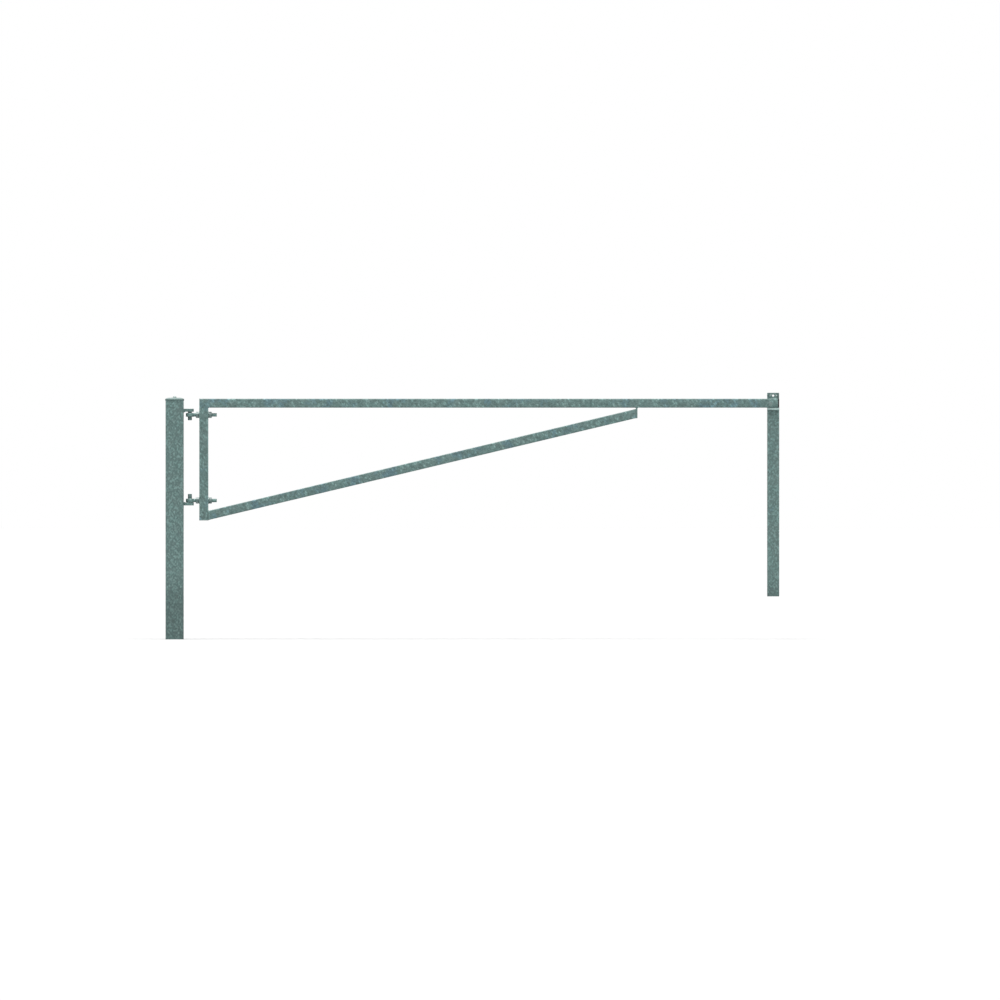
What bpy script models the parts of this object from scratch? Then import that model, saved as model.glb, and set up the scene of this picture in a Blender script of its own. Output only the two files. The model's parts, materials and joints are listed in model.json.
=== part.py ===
# Manual swing barrier for a car park entrance.
# A braced arm of square tube swings on two opposed hinge pins on a stout post, and its tip
# comes to rest on the shelf of a second post, where a padlock goes through a tab and a back plate.
# Metres, +Z up. +X runs from the hinge post to the receiving post. The arm opens towards -Y.
# The origin is at the centre of the hinge post's foot, at the bottom of its foundation.

from math import acos, atan2, cos, hypot, pi, radians, sin, tan

import bmesh
import bpy
from mathutils import Vector

# Overall layout
POST_SPACING = 4.000
HINGE_POST_LENGTH = 1.600
RECEIVER_FOOT_RISE = 0.287
ARM_RISE = 0.008

# Square tubes: outside width, wall and outside corner radius
HINGE_POST_WIDTH = 0.120
HINGE_POST_WALL = 0.005
HINGE_POST_CORNER = 0.010
RECEIVER_WIDTH = 0.080
RECEIVER_WALL = 0.004
RECEIVER_CORNER = 0.008
ARM_WIDTH = 0.060
ARM_WALL = 0.003
ARM_CORNER = 0.006

# Arm frame
HEEL_OFFSET = 0.063
HEEL_LENGTH = 0.808
HEEL_FOOT_PLATE = 0.005
BRACE_LENGTH_ALONG_BEAM = 2.868
BRACE_GAP_TO_BEAM = 0.0083
BRACE_END_PLATE = 0.010

# Hinges: lugs on the post, opposed pins, and threaded eyes through the heel
PIN_OFFSET = 0.042
PIN_DIAMETER = 0.027
PIN_STANDOUT = 0.057
PIN_CHAMFER = 0.002
LUG_THICKNESS = 0.020
LUG_TIP_RADIUS = 0.026
EYE_DIAMETER = 0.054
EYE_THICKNESS = 0.026
EYE_ROUNDING = 0.006
UPPER_EYE_GAP = 0.008
UPPER_BOLT_DROP = 0.078
LOWER_BOLT_RISE = 0.128
BOLT_DIAMETER = 0.024
BOLT_CHAMFER = 0.002
BOLT_STANDOUT = 0.033

# Nuts, washers and the sleeves that keep the heel's walls apart
NUT_ACROSS_FLATS = 0.036
NUT_HEIGHT = 0.019
NUT_CHAMFER = 0.0022
WASHER_DIAMETER = 0.044
WASHER_THICKNESS = 0.004
SLEEVE_DIAMETER = 0.0337
SLEEVE_WALL = 0.0032

# Catch on the receiving post, and the arm's tip
SHELF_THICKNESS = 0.008
SHELF_OVERHANG = 0.010
LIP_LENGTH = 0.012
LIP_ANGLE = radians(52)
LIP_INNER_RADIUS = 0.005
BACK_PLATE_THICKNESS = 0.008
BACK_PLATE_RISE = 0.040
BACK_PLATE_CORNER = 0.003
PADLOCK_RISE = 0.021
TAB_HOLE = 0.014
BACK_PLATE_HOLE = 0.016
TAB_WIDTH = 0.053
TAB_RISE = 0.035
TAB_CORNER = 0.008
TAB_THICKNESS = 0.006
TIP_CAP_FLANGE = 0.008
TIP_CAP_CORNER = 0.003
TIP_CAP_ROUNDING = 0.002
TIP_CAP_FIN_COUNT = 3
TIP_CAP_FIN = 0.0024
TIP_CAP_FIN_REACH = 0.0047
TIP_CAP_FIN_PITCH = 0.007
TIP_CAP_CORE_WALL = 0.003
TIP_CAP_BORE_FLOOR = 0.003

# Cap on the hinge post
CAP_SHEET = 0.0025
CAP_SKIRT_AT_CORNER = 0.005
CAP_SKIRT_ARCH = 0.005
CAP_SHOULDER_RISE = 0.007
CAP_SHOULDER_ROUNDING = 0.0015
CAP_CROWN_RISE = 0.008
CAP_CROWN_THICKNESS = 0.003
CAP_SEAT_WIDTH = 0.007
CAP_BUTTON_RADIUS = 0.0110
CAP_BUTTON_RISE = 0.010
CAP_BUTTON_SHARES = ((1 / 2, 1), (17 / 20, 9 / 10), (1, 7 / 10), (1, 1 / 5))
CAP_CROWN_SHARES = (1 / 5, 1 / 2, 7 / 10, 17 / 20, 19 / 20)
CAP_HOLLOW_SHARES = (9 / 10, 1 / 2)
CAP_SIDE_SHARES = (1 / 4, 1 / 2, 3 / 4)

# Clearances, overruns and fine edges
SEAT_GAP = 0.0003
RUNNING_GAP = 0.0003
CUT_OVERRUN = 0.010
EDGE_BREAK = 0.0008

# Fineness of round shapes
CORNER_STEPS = 6
ROUND_STEPS = 40
HOLE_STEPS = 32
TIP_STEPS = 16
BEND_STEPS = 5
EYE_EDGE_STEPS = 4
SMOOTH_UP_TO = radians(30)
BREAK_EDGES_OVER = radians(50)

# Places that follow from the sizes above
BEAM_TOP = HINGE_POST_LENGTH + ARM_RISE
BEAM_BOTTOM = BEAM_TOP - ARM_WIDTH
BEAM_CENTRE = BEAM_TOP - ARM_WIDTH / 2
POST_FACE = HINGE_POST_WIDTH / 2
HINGE_AXIS = POST_FACE + PIN_OFFSET
HEEL_FOOT = BEAM_TOP - HEEL_LENGTH
UPPER_BOLT_HEIGHT = BEAM_CENTRE - UPPER_BOLT_DROP
LOWER_BOLT_HEIGHT = HEEL_FOOT + LOWER_BOLT_RISE
HEEL_FAR_FACE = HEEL_OFFSET + ARM_WIDTH
HEEL_CENTRE = HEEL_OFFSET + ARM_WIDTH / 2
ARM_TIP = POST_SPACING + RECEIVER_WIDTH / 2 - HINGE_AXIS
SHELF_TOP = BEAM_BOTTOM - SEAT_GAP
RECEIVER_TOP = SHELF_TOP - SHELF_THICKNESS - SEAT_GAP
PADLOCK_HEIGHT = BEAM_TOP + PADLOCK_RISE


def clear_scene():
    for obj in list(bpy.data.objects):
        bpy.data.objects.remove(obj)


def make_material(name, colour, roughness, metallic):
    material = bpy.data.materials.new(name)
    material.use_nodes = True
    shader = material.node_tree.nodes["Principled BSDF"]
    shader.inputs["Base Color"].default_value = (*colour, 1)
    shader.inputs["Roughness"].default_value = roughness
    shader.inputs["Metallic"].default_value = metallic
    material.diffuse_color = (*colour, 1)
    return material


def add_empty(name, location):
    empty = bpy.data.objects.new(name, None)
    empty.location = location
    bpy.context.scene.collection.objects.link(empty)
    return empty


def add_object(name, bm, material=None, parent=None, location=(0, 0, 0), rotation=(0, 0, 0)):
    """Turns a finished bmesh into an object in its parent's frame."""
    bmesh.ops.recalc_face_normals(bm, faces=bm.faces)
    mesh = bpy.data.meshes.new(name)
    bm.to_mesh(mesh)
    bm.free()
    mesh.shade_smooth()
    mesh.set_sharp_from_angle(angle=SMOOTH_UP_TO)
    if material:
        mesh.materials.append(material)
    obj = bpy.data.objects.new(name, mesh)
    obj.parent = parent
    obj.location = location
    obj.rotation_euler = rotation
    bpy.context.scene.collection.objects.link(obj)
    return obj


def loft(loops, ring=False):
    """Skins equal loops of points. A ring joins its last loop to its first; a bar gets end faces."""
    bm = bmesh.new()
    rows = [[bm.verts.new(point) for point in loop] for loop in loops]
    pairs = list(zip(rows, rows[1:]))
    if ring:
        pairs.append((rows[-1], rows[0]))
    else:
        bm.faces.new(rows[0])
        bm.faces.new(rows[-1])
    for first, second in pairs:
        for i in range(len(first)):
            j = (i + 1) % len(first)
            bm.faces.new((first[i], first[j], second[j], second[i]))
    return bm


def square_outline(width, corner):
    """Points of a square with round corners, anticlockwise, centred on zero."""
    flat = width / 2 - corner
    points = []
    for quarter, (side_u, side_v) in enumerate([(1, 1), (-1, 1), (-1, -1), (1, -1)]):
        for step in range(CORNER_STEPS + 1):
            turn = (quarter + step / CORNER_STEPS) * pi / 2
            points.append((side_u * flat + corner * cos(turn), side_v * flat + corner * sin(turn)))
    return points


def circle_outline(radius, steps=ROUND_STEPS):
    return [(radius * cos(2 * pi * i / steps), radius * sin(2 * pi * i / steps)) for i in range(steps)]


def rounded_end_outline(width, base, centre):
    """A strip along +u from base, ending in a half circle about centre."""
    radius = width / 2
    tip = [(centre + radius * cos(pi * (i / TIP_STEPS - 1 / 2)), radius * sin(pi * (i / TIP_STEPS - 1 / 2)))
           for i in range(TIP_STEPS + 1)]
    return [(base, -radius), *tip, (base, radius)]


def round_shouldered_outline(width, height, corner):
    """An upright plate, square at the foot, with its two upper corners rounded."""
    half = width / 2
    points = [(-half, 0), (half, 0)]
    for quarter, side in ((0, 1), (1, -1)):
        for step in range(CORNER_STEPS + 1):
            turn = (quarter + step / CORNER_STEPS) * pi / 2
            points.append((side * (half - corner) + corner * cos(turn), height - corner + corner * sin(turn)))
    return points


def turned_bar(profile, steps=ROUND_STEPS):
    """A solid of revolution about X from (x, radius) pairs."""
    return loft([[(x, u, v) for u, v in circle_outline(radius, steps)] for x, radius in profile])


def turned_ring(profile, steps=ROUND_STEPS):
    """A ring about X whose section is the closed outline of (x, radius) pairs."""
    return loft([[(x, u, v) for u, v in circle_outline(radius, steps)] for x, radius in profile], ring=True)


def add_cutter(name, bm, parent=None, location=(0, 0, 0), rotation=(0, 0, 0)):
    cutter = add_object(name, bm, parent=parent, location=location, rotation=rotation)
    cutter.hide_render = True
    cutter.display_type = "WIRE"
    return cutter


def add_boolean(obj, other, operation="DIFFERENCE"):
    modifier = obj.modifiers.new(operation.title(), "BOOLEAN")
    modifier.operation = operation
    modifier.object = other


def break_edges(obj):
    """Takes the sharpness off the edges of a cut plate."""
    modifier = obj.modifiers.new("Edge break", "BEVEL")
    modifier.width = EDGE_BREAK
    modifier.segments = 1
    modifier.limit_method = "ANGLE"
    modifier.angle_limit = BREAK_EDGES_OVER


def drill(obj, name, diameter, length, parent, location, rotation):
    """Cuts a round hole of this length, centred on location, whose axis starts out along X."""
    reach = length / 2 + CUT_OVERRUN
    bar = turned_bar([(-reach, diameter / 2), (reach, diameter / 2)], HOLE_STEPS)
    add_boolean(obj, add_cutter(name, bar, parent, location, rotation))


ALONG_X = (0, 0, 0)
ALONG_Y = (0, 0, pi / 2)
ALONG_Z = (0, pi / 2, 0)


def square_tube(width, wall, corner, start, end):
    """Loops of a tube along its third coordinate. start and end give that coordinate at (u, v)."""
    outer = square_outline(width, corner)
    inner = square_outline(width - 2 * wall, corner - wall)
    return [
        [(u, v, start(u, v)) for u, v in outer],
        [(u, v, end(u, v)) for u, v in outer],
        [(u, v, end(u, v)) for u, v in inner],
        [(u, v, start(u, v)) for u, v in inner],
    ]


def add_post(name, material, width, wall, corner, x, foot, top):
    loops = square_tube(width, wall, corner, lambda u, v: 0, lambda u, v: top - foot)
    return add_object(name, loft(loops, ring=True), material, location=(x, 0, foot))


def cap_outline(width, corner):
    """A square with round corners and extra points along its sides, so that they can arch and crown."""
    outline = square_outline(width, corner)
    points = []
    for i, point in enumerate(outline):
        points.append(point)
        if i % (CORNER_STEPS + 1) == CORNER_STEPS:
            after = outline[(i + 1) % len(outline)]
            points += [tuple(a + (b - a) * share for a, b in zip(point, after)) for share in CAP_SIDE_SHARES]
    return points


def cap_level(width, corner, height):
    return [(u, v, height) for u, v in cap_outline(width, corner)]


def cap_skirt_edge(width, corner):
    """The skirt's lower edge, which rises in an arch between the post's corners."""
    flat_half = width / 2 - corner
    lowest = HINGE_POST_LENGTH - CAP_SKIRT_AT_CORNER
    points = []
    for u, v in cap_outline(width, corner):
        along = min(abs(u), abs(v)) / flat_half
        points.append((u, v, lowest + CAP_SKIRT_ARCH * max(0, 1 - along ** 2)))
    return points


def cap_crown(share, width, corner, base):
    """A loop of the crown, from the button's circle at share 0 out to this square at share 1."""
    points = []
    for u, v in cap_outline(width, corner):
        reach = CAP_BUTTON_RADIUS / hypot(u, v)
        wide = reach + (1 - reach) * share
        points.append((u * wide, v * wide, base + CAP_CROWN_RISE * (1 - share ** 4)))
    return points


def cap_button(wide_share, tall_share, width, corner, base):
    """A round loop of the button in the middle of the crown."""
    points = []
    for u, v in cap_outline(width, corner):
        reach = CAP_BUTTON_RADIUS * wide_share / hypot(u, v)
        points.append((u * reach, v * reach, base + CAP_BUTTON_RISE * tall_share))
    return points


def add_hinge_post_cap(material):
    """A pressed cap: an arched skirt over the tube, a seat on its end, a low crown and a button."""
    inner_width = HINGE_POST_WIDTH + 2 * SEAT_GAP
    inner_corner = HINGE_POST_CORNER + SEAT_GAP
    outer_width = inner_width + 2 * CAP_SHEET
    outer_corner = inner_corner + CAP_SHEET
    top_width = outer_width - 2 * CAP_SHOULDER_ROUNDING
    top_corner = outer_corner - CAP_SHOULDER_ROUNDING
    hollow_width = HINGE_POST_WIDTH - 2 * CAP_SEAT_WIDTH
    hollow_corner = HINGE_POST_CORNER - HINGE_POST_WALL
    seat = HINGE_POST_LENGTH + SEAT_GAP
    shoulder = HINGE_POST_LENGTH + CAP_SHOULDER_RISE
    crown = shoulder + CAP_CROWN_RISE
    under = shoulder - CAP_CROWN_THICKNESS
    loops = [cap_button(wide, tall, top_width, top_corner, crown) for wide, tall in CAP_BUTTON_SHARES]
    loops += [cap_crown(share, top_width, top_corner, shoulder) for share in CAP_CROWN_SHARES]
    loops.append(cap_level(top_width, top_corner, shoulder))
    loops.append(cap_level(outer_width, outer_corner, shoulder - CAP_SHOULDER_ROUNDING))
    loops.append(cap_skirt_edge(outer_width, outer_corner))
    loops.append(cap_skirt_edge(inner_width, inner_corner))
    loops.append(cap_level(inner_width, inner_corner, seat))
    loops.append(cap_level(hollow_width, hollow_corner, seat))
    loops += [cap_crown(share, hollow_width, hollow_corner, under) for share in CAP_HOLLOW_SHARES]
    return add_object("hinge_post_cap", loft(loops), material)


def add_hinge_lug(name, material, bottom):
    """A thick flat lug welded to the post, round about the pin that is fixed in it."""
    root = POST_FACE + SEAT_GAP
    outline = rounded_end_outline(2 * LUG_TIP_RADIUS, root, HINGE_AXIS)
    loops = [[(x, y, z) for x, y in outline] for z in (0, LUG_THICKNESS)]
    lug = add_object(name, loft(loops), material, location=(0, 0, bottom))
    break_edges(lug)
    place = (HINGE_AXIS, 0, bottom + LUG_THICKNESS / 2)
    drill(lug, name + "_bore", PIN_DIAMETER + 2 * SEAT_GAP, LUG_THICKNESS, None, place, ALONG_Z)
    return lug


def add_hinge_pin(name, material, root, direction):
    """A pin from the lug's outer face at root, through the lug, and out along direction (1 up, -1 down)."""
    radius = PIN_DIAMETER / 2
    length = LUG_THICKNESS + PIN_STANDOUT
    profile = [(0, radius), (length - PIN_CHAMFER, radius), (length, radius - PIN_CHAMFER)]
    return add_object(name, turned_bar(profile), material, location=(HINGE_AXIS, 0, root),
                      rotation=(0, -direction * pi / 2, 0))


def add_eye_bolt(name, material, pivot, height):
    """A threaded bolt through the heel, with a forged eye that turns on the pin."""
    bore = PIN_DIAMETER / 2 + RUNNING_GAP
    outer = EYE_DIAMETER / 2
    half = EYE_THICKNESS / 2
    section = [(half, bore), (-half, bore)]
    for side in (-1, 1):
        for step in range(EYE_EDGE_STEPS + 1):
            turn = pi / 2 * (step if side < 0 else EYE_EDGE_STEPS - step) / EYE_EDGE_STEPS
            across = side * (half - EYE_ROUNDING + EYE_ROUNDING * cos(turn))
            section.append((across, outer - EYE_ROUNDING + EYE_ROUNDING * sin(turn)))
    eye = add_object(name, turned_ring(section), material, pivot, (0, 0, height), ALONG_Z)
    radius = BOLT_DIAMETER / 2
    start = (bore + outer) / 2
    end = HEEL_FAR_FACE + SEAT_GAP + WASHER_THICKNESS + SEAT_GAP + NUT_HEIGHT + BOLT_STANDOUT
    profile = [(start, radius), (end - BOLT_CHAMFER, radius), (end, radius - BOLT_CHAMFER)]
    shank = add_cutter(name + "_shank", turned_bar(profile), pivot, (0, 0, height))
    add_boolean(eye, shank, "UNION")
    return eye


def hexagon_outline(across_flats):
    """A hexagon with a corner at the top, one point at each corner and each flat's middle."""
    points = []
    for i in range(12):
        turn = pi / 2 + i * pi / 6
        reach = across_flats / 2 if i % 2 else across_flats / 2 / cos(pi / 6)
        points.append((reach * cos(turn), reach * sin(turn)))
    return points


def add_nut(name, material, pivot, near, height):
    """A hexagon nut with both faces chamfered, whose near face is at this distance from the hinge axis."""
    hexagon = hexagon_outline(NUT_ACROSS_FLATS)
    loops = [[(x, u, v) for u, v in hexagon] for x in (0, NUT_HEIGHT)]
    nut = add_object(name, loft(loops), material, pivot, (near, 0, height))
    corner = NUT_ACROSS_FLATS / 2 / cos(pi / 6)
    face = NUT_ACROSS_FLATS / 2 - EDGE_BREAK
    profile = [
        (0, face),
        (NUT_CHAMFER, corner + EDGE_BREAK),
        (NUT_HEIGHT - NUT_CHAMFER, corner + EDGE_BREAK),
        (NUT_HEIGHT, face),
    ]
    envelope = add_cutter(name + "_envelope", turned_bar(profile), pivot, (near, 0, height))
    add_boolean(nut, envelope, "INTERSECT")
    middle = (near + NUT_HEIGHT / 2, 0, height)
    drill(nut, name + "_bore", BOLT_DIAMETER + 2 * SEAT_GAP, NUT_HEIGHT, pivot, middle, ALONG_X)
    return nut


def add_round_tube(name, material, pivot, near, height, inner, outer, length):
    """A washer or a sleeve on the bolt's line, starting at near."""
    section = [(0, inner), (0, outer), (length, outer), (length, inner)]
    return add_object(name, turned_ring(section), material, pivot, (near, 0, height))


def add_hinge_fasteners(prefix, material, pivot, height):
    """What holds one eye bolt in the heel: nut and washer on each side, and a sleeve between its walls."""
    bore = BOLT_DIAMETER / 2 + SEAT_GAP
    washer_outer = WASHER_DIAMETER / 2
    inner_washer = HEEL_OFFSET - SEAT_GAP - WASHER_THICKNESS
    inner_nut = inner_washer - SEAT_GAP - NUT_HEIGHT
    outer_washer = HEEL_FAR_FACE + SEAT_GAP
    outer_nut = outer_washer + WASHER_THICKNESS + SEAT_GAP
    add_round_tube(prefix + "_inner_washer", material, pivot, inner_washer, height, bore, washer_outer,
                   WASHER_THICKNESS)
    add_round_tube(prefix + "_outer_washer", material, pivot, outer_washer, height, bore, washer_outer,
                   WASHER_THICKNESS)
    add_nut(prefix + "_inner_nut", material, pivot, inner_nut, height)
    add_nut(prefix + "_outer_nut", material, pivot, outer_nut, height)
    sleeve = HEEL_OFFSET + ARM_WALL + SEAT_GAP
    sleeve_length = ARM_WIDTH - 2 * ARM_WALL - 2 * SEAT_GAP
    sleeve_outer = SLEEVE_DIAMETER / 2
    add_round_tube(prefix + "_bolt_sleeve", material, pivot, sleeve, height, sleeve_outer - SLEEVE_WALL,
                   sleeve_outer, sleeve_length)


def add_heel(material, pivot):
    """The arm's upright: square at the foot, mitred to the beam at the top, drilled for two bolts."""
    loops = square_tube(
        ARM_WIDTH, ARM_WALL, ARM_CORNER,
        lambda u, v: 0,
        lambda u, v: HEEL_LENGTH - ARM_WIDTH / 2 - u - SEAT_GAP,
    )
    heel = add_object("heel_upright", loft(loops, ring=True), material, pivot, (HEEL_CENTRE, 0, HEEL_FOOT))
    for prefix, height in (("upper", UPPER_BOLT_HEIGHT), ("lower", LOWER_BOLT_HEIGHT)):
        drill(heel, prefix + "_bolt_hole", BOLT_DIAMETER + 2 * SEAT_GAP, ARM_WIDTH, pivot,
              (HEEL_CENTRE, 0, height), ALONG_X)
    outline = square_outline(ARM_WIDTH, ARM_CORNER)
    plate = loft([[(u, v, z) for u, v in outline] for z in (-HEEL_FOOT_PLATE, 0)])
    foot = add_object("heel_foot_plate", plate, material, pivot, (HEEL_CENTRE, 0, HEEL_FOOT - SEAT_GAP))
    break_edges(foot)


def add_beam(material, pivot):
    """The top rail: mitred to the heel, square at the tip. Its section is drawn in Y and Z."""
    length = ARM_TIP - TIP_CAP_FLANGE - SEAT_GAP - HEEL_OFFSET
    loops = square_tube(
        ARM_WIDTH, ARM_WALL, ARM_CORNER,
        lambda u, v: ARM_WIDTH / 2 - v + SEAT_GAP,
        lambda u, v: length,
    )
    turned = [[(along, u, v) for u, v, along in loop] for loop in loops]
    add_object("top_beam", loft(turned, ring=True), material, pivot, (HEEL_OFFSET, 0, BEAM_CENTRE))


def brace_slope():
    """The angle at which the brace's lower edge meets the heel's foot and its upper edge nears the beam."""
    rise = BEAM_BOTTOM - BRACE_GAP_TO_BEAM - brace_foot()
    run = BRACE_LENGTH_ALONG_BEAM - BRACE_END_PLATE - 2 * SEAT_GAP
    return acos(ARM_WIDTH / hypot(rise, run)) - atan2(run, rise)


def brace_foot():
    """The height of the brace's lowest corner, level with the middle of the heel's foot plate."""
    return HEEL_FOOT - SEAT_GAP - HEEL_FOOT_PLATE / 2


def add_brace(material, pivot):
    """The sloping strut, cut upright at both ends, and the plate that closes it and carries the beam."""
    slope = brace_slope()
    half_upright = ARM_WIDTH / 2 / cos(slope)
    start = HEEL_FAR_FACE + SEAT_GAP
    run = BRACE_LENGTH_ALONG_BEAM - BRACE_END_PLATE - 2 * SEAT_GAP
    length = run / cos(slope)
    loops = square_tube(
        ARM_WIDTH, ARM_WALL, ARM_CORNER,
        lambda u, v: v * tan(slope),
        lambda u, v: length + v * tan(slope),
    )
    turned = [[(along, u, v) for u, v, along in loop] for loop in loops]
    place = (start, 0, brace_foot() + half_upright)
    add_object("brace_tube", loft(turned, ring=True), material, pivot, place, (0, -slope, 0))
    end = start + run + SEAT_GAP
    bottom = BEAM_BOTTOM - BRACE_GAP_TO_BEAM - 2 * half_upright
    height = BEAM_BOTTOM - SEAT_GAP - bottom
    half = ARM_WIDTH / 2
    outline = [(-half, 0), (half, 0), (half, height), (-half, height)]
    plate = loft([[(x, y, z) for y, z in outline] for x in (0, BRACE_END_PLATE)])
    break_edges(add_object("brace_end_plate", plate, material, pivot, (end, 0, bottom)))


def add_tip_cap(material, pivot):
    """A moulded plug: a flange over the tube's end, and a finned hollow core that grips its bore."""
    flange = ARM_WIDTH
    fin_width = ARM_WIDTH - 2 * ARM_WALL - 2 * SEAT_GAP
    core = fin_width - 2 * TIP_CAP_FIN_REACH
    bore = core - 2 * TIP_CAP_CORE_WALL
    core_corner = ARM_CORNER - ARM_WALL
    loops = [
        (0, flange - 2 * TIP_CAP_ROUNDING, TIP_CAP_CORNER - TIP_CAP_ROUNDING),
        (-TIP_CAP_ROUNDING, flange, TIP_CAP_CORNER),
        (-TIP_CAP_FLANGE, flange, TIP_CAP_CORNER),
        (-TIP_CAP_FLANGE, core, core_corner),
    ]
    back = -TIP_CAP_FLANGE
    for i in range(TIP_CAP_FIN_COUNT):
        fin = back - (i + 1) * TIP_CAP_FIN_PITCH
        loops.append((fin + TIP_CAP_FIN, core, core_corner))
        loops.append((fin + TIP_CAP_FIN, fin_width, core_corner))
        loops.append((fin, fin_width, core_corner))
        if i < TIP_CAP_FIN_COUNT - 1:
            loops.append((fin, core, core_corner))
    depth = back - TIP_CAP_FIN_COUNT * TIP_CAP_FIN_PITCH
    loops.append((depth, bore, core_corner))
    loops.append((back + TIP_CAP_BORE_FLOOR, bore, core_corner))
    skins = [[(x, u, v) for u, v in square_outline(width, corner)] for x, width, corner in loops]
    add_object("beam_end_cap", loft(skins), material, pivot, (ARM_TIP, 0, BEAM_CENTRE))


def add_lock_tab(material, pivot):
    """An upright tab on the arm's tip, drilled for the padlock."""
    centre = POST_SPACING - HINGE_AXIS
    outline = round_shouldered_outline(TAB_WIDTH, TAB_RISE, TAB_CORNER)
    back = ARM_WIDTH / 2 - ARM_CORNER
    loops = [[(across, y, up) for across, up in outline] for y in (back - TAB_THICKNESS, back)]
    tab = add_object("lock_tab", loft(loops), material, pivot, (centre, 0, BEAM_TOP + SEAT_GAP))
    break_edges(tab)
    place = (centre, back - TAB_THICKNESS / 2, PADLOCK_HEIGHT)
    drill(tab, "lock_tab_bore", TAB_HOLE, TAB_THICKNESS, pivot, place, ALONG_Y)


def shelf_outline():
    """The shelf's section in Y and Z, from its back edge: flat, then bent down into a sloping lip."""
    back = RECEIVER_WIDTH / 2
    front = -RECEIVER_WIDTH / 2 - SHELF_OVERHANG
    inner = LIP_INNER_RADIUS
    outer = inner + SHELF_THICKNESS
    bend_centre = Vector((front, -outer))
    turns = [LIP_ANGLE * i / BEND_STEPS for i in range(BEND_STEPS + 1)]
    along_lip = LIP_LENGTH * Vector((-cos(LIP_ANGLE), -sin(LIP_ANGLE)))
    top = [bend_centre + outer * Vector((-sin(turn), cos(turn))) for turn in turns]
    under = [bend_centre + inner * Vector((-sin(turn), cos(turn))) for turn in turns]
    lip = [top[-1] + along_lip, under[-1] + along_lip]
    return [Vector((back, 0)), *top, *lip, *reversed(under), Vector((back, -SHELF_THICKNESS))]


def add_catch(material):
    """The bent shelf that carries the arm's tip, and the drilled plate that it closes against."""
    half = RECEIVER_WIDTH / 2
    loops = [[(x, y, z) for y, z in shelf_outline()] for x in (-half, half)]
    shelf = add_object("receiver_shelf", loft(loops), material, location=(POST_SPACING, 0, SHELF_TOP))
    break_edges(shelf)
    height = BEAM_TOP + BACK_PLATE_RISE - SHELF_TOP - SEAT_GAP
    outline = round_shouldered_outline(RECEIVER_WIDTH, height, BACK_PLATE_CORNER)
    front = ARM_WIDTH / 2 + SEAT_GAP
    loops = [[(x, y, z) for x, z in outline] for y in (0, BACK_PLATE_THICKNESS)]
    place = (POST_SPACING, front, SHELF_TOP + SEAT_GAP)
    plate = add_object("receiver_back_plate", loft(loops), material, location=place)
    break_edges(plate)
    middle = (POST_SPACING, front + BACK_PLATE_THICKNESS / 2, PADLOCK_HEIGHT)
    drill(plate, "receiver_back_plate_bore", BACK_PLATE_HOLE, BACK_PLATE_THICKNESS, None, middle, ALONG_Y)


def add_hinges(galvanised, zinc, pivot):
    """One pin hangs from the upper lug and one stands on the lower, so the arm can't be lifted off."""
    upper_lug = UPPER_BOLT_HEIGHT + EYE_THICKNESS / 2 + UPPER_EYE_GAP
    lower_lug = LOWER_BOLT_HEIGHT - EYE_THICKNESS / 2 - SEAT_GAP - LUG_THICKNESS
    add_hinge_lug("upper_hinge_lug", galvanised, upper_lug)
    add_hinge_pin("upper_hinge_pin", galvanised, upper_lug + LUG_THICKNESS, -1)
    add_hinge_lug("lower_hinge_lug", galvanised, lower_lug)
    add_hinge_pin("lower_hinge_pin", galvanised, lower_lug, 1)
    for prefix, height in (("upper", UPPER_BOLT_HEIGHT), ("lower", LOWER_BOLT_HEIGHT)):
        add_eye_bolt(prefix + "_eye_bolt", galvanised, pivot, height)
        add_hinge_fasteners(prefix, zinc, pivot, height)


def build_barrier():
    galvanised = make_material("galvanised steel", (0.150, 0.225, 0.218), 0.50, 0.35)
    zinc = make_material("zinc fasteners", (0.200, 0.265, 0.260), 0.42, 0.50)
    plastic = make_material("black plastic", (0.020, 0.022, 0.022), 0.55, 0.0)
    add_post("hinge_post", galvanised, HINGE_POST_WIDTH, HINGE_POST_WALL, HINGE_POST_CORNER, 0, 0,
             HINGE_POST_LENGTH)
    add_post("receiver_post", galvanised, RECEIVER_WIDTH, RECEIVER_WALL, RECEIVER_CORNER, POST_SPACING,
             RECEIVER_FOOT_RISE, RECEIVER_TOP)
    add_hinge_post_cap(galvanised)
    add_catch(galvanised)
    arm_pivot = add_empty("arm_pivot", (HINGE_AXIS, 0, 0))
    add_hinges(galvanised, zinc, arm_pivot)
    add_heel(galvanised, arm_pivot)
    add_beam(galvanised, arm_pivot)
    add_brace(galvanised, arm_pivot)
    add_tip_cap(plastic, arm_pivot)
    add_lock_tab(galvanised, arm_pivot)


clear_scene()
build_barrier()
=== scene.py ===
# %% [markdown]
# # A swing barrier for vehicles
# A long arm of square tube hangs by two eye bolts on a stout post, a sloping brace props it, and its
# tip rests in a catch on a second, slimmer post. Everything is hot-dip galvanised steel.
# The solids were made before this lesson, in metres, with +X along the closed arm and +Z up. They are
# loaded here as a fixed frame. What this lesson adds is what makes them look real: the zinc, the
# weld beads, the threads, the light and the camera.

# %% Load the solids
import json
from math import acos, asin, atan2, copysign, cos, degrees, hypot, pi, radians, sin, sqrt, tan

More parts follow.
